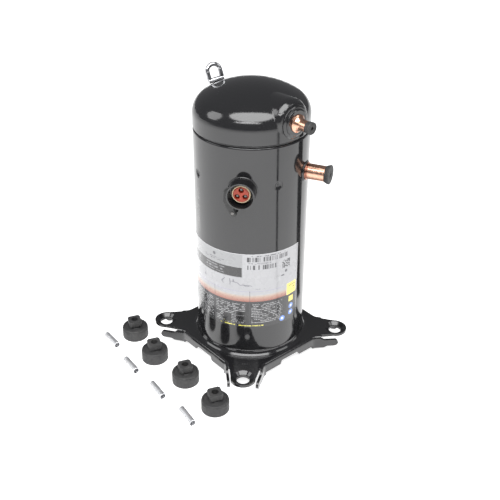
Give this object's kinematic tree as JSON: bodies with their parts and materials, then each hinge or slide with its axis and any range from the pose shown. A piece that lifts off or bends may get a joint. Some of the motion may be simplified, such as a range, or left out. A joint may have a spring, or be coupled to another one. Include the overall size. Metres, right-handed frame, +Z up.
{
  "type": "scroll compressor",
  "caption": "Hermetic scroll compressor: black welded shell on a four-foot base, copper stubs with rubber plugs, terminal fence, lifting eye, and a loose grommet and sleeve kit.",
  "frame": {"origin": "on the shell's axis, in the plane the base rests on", "axes": "+Z up along the shell; X and Y along the sides of the mounting square; the discharge stub points along -Y and the terminal over the foot at -X, -Y"},
  "size_m": [0.3164, 0.2638, 0.4373],
  "materials": {
    "shell_paint": "gloss black enamel",
    "copper_tube": "bright drawn copper",
    "zinc_steel": "zinc plated",
    "chrome_eye": "bright plated",
    "black_rubber": "matt",
    "red_moulding": "semi gloss",
    "cream_gasket": "matt",
    "glass_bead": "gloss",
    "label_film": "printed film",
    "cast_iron_parts": "machined and as cast",
    "machined_steel": "ground",
    "lamination_steel": "stacked laminations",
    "copper_winding": "enamelled wire",
    "bearing_bronze": "bored",
    "die_cast_alu": "as cast",
    "ptfe_lip": "matt",
    "cream_plastic": "matt",
    "lead_insulation": "matt"
  },
  "bodies": {
    "housing": {"centre_shell": "shell_paint", "base_plate": "shell_paint", "top_cap": "shell_paint", "muffler_plate": "machined_steel", "plug_welds": "shell_paint", "discharge_boss": "shell_paint", "discharge_tube": "copper_tube", "suction_flange": "shell_paint", "suction_tube": "copper_tube", "suction_baffle": "machined_steel", "terminal_cup": "zinc_steel", "terminal_glass": "glass_bead", "terminal_pins": "zinc_steel", "terminal_fence": "shell_paint", "terminal_block": "red_moulding", "terminal_gasket": "cream_gasket", "cover_strap": "black_rubber", "strap_rivet": "zinc_steel", "lifting_eye": "chrome_eye", "nameplate": "label_film", "stator_core": "lamination_steel", "stator_windings": "copper_winding", "motor_leads": "lead_insulation", "lead_connector": "cream_plastic", "motor_protector": "cream_plastic", "main_bearing_housing": "cast_iron_parts", "main_bearing_bush": "bearing_bronze", "lower_bearing_bracket": "cast_iron_parts", "lower_bearing_bush": "bearing_bronze", "thrust_washer": "bearing_bronze", "guide_sleeves": "machined_steel", "scroll_bolts": "machined_steel", "sump_magnet": "cast_iron_parts", "valve_retainer": "machined_steel"},
    "shaft": {"crankshaft": "machined_steel", "rotor_core": "lamination_steel", "rotor_end_rings": "die_cast_alu", "upper_counterweight": "cast_iron_parts", "lower_counterweight": "cast_iron_parts", "oil_pickup": "machined_steel"},
    "drive_bush": {"drive_bushing": "machined_steel"},
    "orbiting": {"orbiting_scroll": "cast_iron_parts", "orbiting_bush": "bearing_bronze"},
    "oldham": {"oldham_ring": "cast_iron_parts"},
    "fixed_scroll": {"non_orbiting_scroll": "cast_iron_parts"},
    "seal": {"floating_seal": "die_cast_alu", "seal_lips": "ptfe_lip"},
    "valve": {"valve_disc": "machined_steel"},
    "plug_suction": {"suction_plug": "black_rubber"},
    "plug_discharge": {"discharge_plug": "black_rubber"},
    "loose_grommet_1": {"grommet_1": "black_rubber"},
    "loose_sleeve_1": {"sleeve_1": "zinc_steel"},
    "loose_grommet_2": {"grommet_2": "black_rubber"},
    "loose_sleeve_2": {"sleeve_2": "zinc_steel"},
    "loose_grommet_3": {"grommet_3": "black_rubber"},
    "loose_sleeve_3": {"sleeve_3": "zinc_steel"},
    "loose_grommet_4": {"grommet_4": "black_rubber"},
    "loose_sleeve_4": {"sleeve_4": "zinc_steel"}
  },
  "joints": [
    {"name": "shaft_spin", "type": "hinge", "parent": "housing", "child": "shaft", "pos_m": [0, 0, 0.16], "axis": [0, 0, 1], "continuous": true},
    {"name": "drive_bush_slide", "type": "slide", "parent": "shaft", "child": "drive_bush", "axis": [1, 0, 0], "range_m": [-0.0008, 0]},
    {"name": "orbiting_scroll_turn", "type": "hinge", "parent": "drive_bush", "child": "orbiting", "pos_m": [0.0045, 0, 0.276], "axis": [0, 0, 1], "continuous": true},
    {"name": "oldham_slide", "type": "slide", "parent": "housing", "child": "oldham", "axis": [1, 0, 0], "range_m": [-0.0045, 0.0045]},
    {"name": "fixed_scroll_float", "type": "slide", "parent": "housing", "child": "fixed_scroll", "axis": [0, 0, 1], "range_m": [0, 0.001]},
    {"name": "seal_float", "type": "slide", "parent": "fixed_scroll", "child": "seal", "axis": [0, 0, 1], "range_m": [0, 0.0015]},
    {"name": "valve_lift", "type": "slide", "parent": "housing", "child": "valve", "axis": [0, 0, 1], "range_m": [0, 0.0025]},
    {"name": "suction_plug_pull", "type": "slide", "parent": "housing", "child": "plug_suction", "axis": [0.454, -0.891, 0], "range_m": [0, 0.03]},
    {"name": "discharge_plug_pull", "type": "slide", "parent": "housing", "child": "plug_discharge", "axis": [0.0558, -0.9984, 0], "range_m": [0, 0.03]},
    {"name": "grommet_1_lift", "type": "slide", "parent": "housing", "child": "loose_grommet_1", "axis": [0, 0, 1], "range_m": [0, 0.1]},
    {"name": "grommet_2_lift", "type": "slide", "parent": "housing", "child": "loose_grommet_2", "axis": [0, 0, 1], "range_m": [0, 0.1]},
    {"name": "grommet_3_lift", "type": "slide", "parent": "housing", "child": "loose_grommet_3", "axis": [0, 0, 1], "range_m": [0, 0.1]},
    {"name": "grommet_4_lift", "type": "slide", "parent": "housing", "child": "loose_grommet_4", "axis": [0, 0, 1], "range_m": [0, 0.1]},
    {"name": "sleeve_1_lift", "type": "slide", "parent": "housing", "child": "loose_sleeve_1", "axis": [0, 0, 1], "range_m": [0, 0.1]},
    {"name": "sleeve_2_lift", "type": "slide", "parent": "housing", "child": "loose_sleeve_2", "axis": [0, 0, 1], "range_m": [0, 0.1]},
    {"name": "sleeve_3_lift", "type": "slide", "parent": "housing", "child": "loose_sleeve_3", "axis": [0, 0, 1], "range_m": [0, 0.1]},
    {"name": "sleeve_4_lift", "type": "slide", "parent": "housing", "child": "loose_sleeve_4", "axis": [0, 0, 1], "range_m": [0, 0.1]}
  ],
  "couplings": [
    {"joint": "orbiting_scroll_turn", "follows": "shaft_spin", "ratio": -1}
  ]
}
